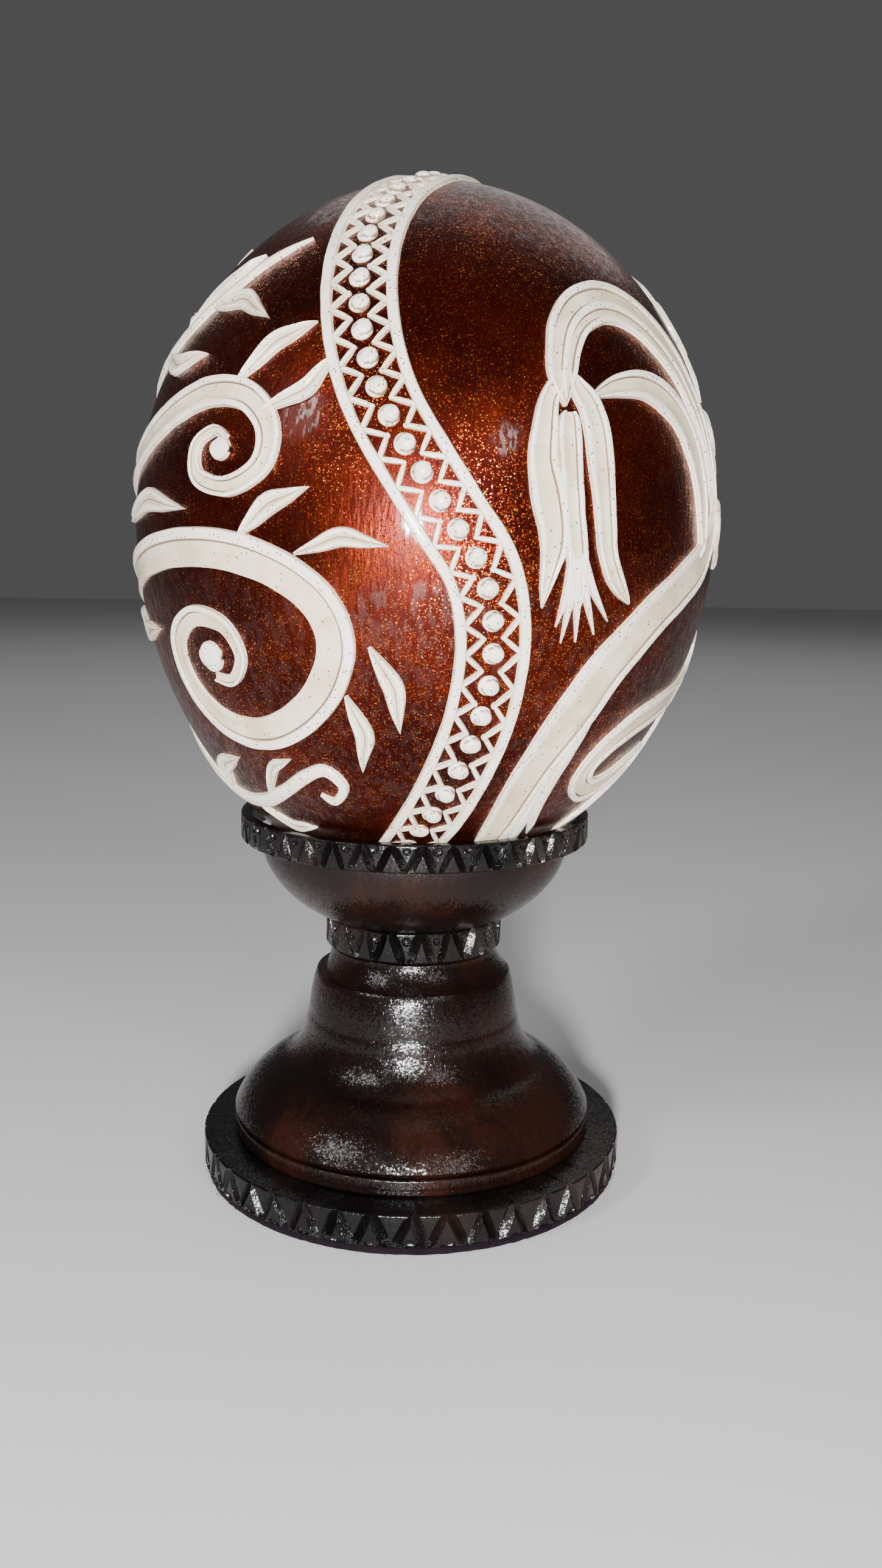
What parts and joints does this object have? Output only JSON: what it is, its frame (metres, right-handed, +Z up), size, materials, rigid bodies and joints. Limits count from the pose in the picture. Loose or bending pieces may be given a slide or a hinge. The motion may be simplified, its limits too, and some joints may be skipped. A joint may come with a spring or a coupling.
{
  "type": "carved egg on a turned stand",
  "caption": "Large hollow egg carved in relief through dark copper lacquer, resting on a felt ring in a turned wooden cup with a bell-shaped foot and chip-carved rings.",
  "frame": {"origin": "centre of the felt pad's underside, on the stand's turned axis and on the surface the stand rests on", "axes": "+Z up along the stand's turned axis; -Y is the front, where the broad band of beads shows; the egg leans towards +X"},
  "size_m": [0.126, 0.1258, 0.2195],
  "materials": {
    "lacquered_shell": "copper-flecked dark red lacquer under a clear gloss coat, carved through to ivory shell",
    "ivory_shell": "bare carved shell, satin, with fine dark pores",
    "seat_felt": "dense dark felt",
    "stained_wood": "dark mahogany stain, polished varnish",
    "blackened_wood": "black, chip-carved, glossy",
    "base_felt": "dark purple-black fuzzy felt",
    "plain_wood": "plain unfinished dowel",
    "screw_steel": "zinc-plated countersunk screw"
  },
  "bodies": {
    "stand": {"cup_bowl": "stained_wood", "rim_collar": "blackened_wood", "neck_collar": "blackened_wood", "neck_post": "stained_wood", "pedestal_bell": "stained_wood", "plinth_ring": "stained_wood", "foot_disc": "blackened_wood", "felt_pad": "base_felt", "centre_dowel": "plain_wood", "foot_screw_1": "screw_steel", "foot_screw_2": "screw_steel", "foot_screw_3": "screw_steel"},
    "seat": {"seat_ring": "seat_felt"},
    "egg": {"eggshell": "lacquered_shell"}
  },
  "joints": [
    {"name": "egg_lift", "type": "slide", "parent": "stand", "child": "seat", "axis": [0, 0, 1], "range_m": [0, 0.06]},
    {"name": "egg_turn", "type": "hinge", "parent": "seat", "child": "egg", "pos_m": [0.0016, 0, 0.14426], "axis": [0.061, 0, 0.9981], "continuous": true}
  ]
}
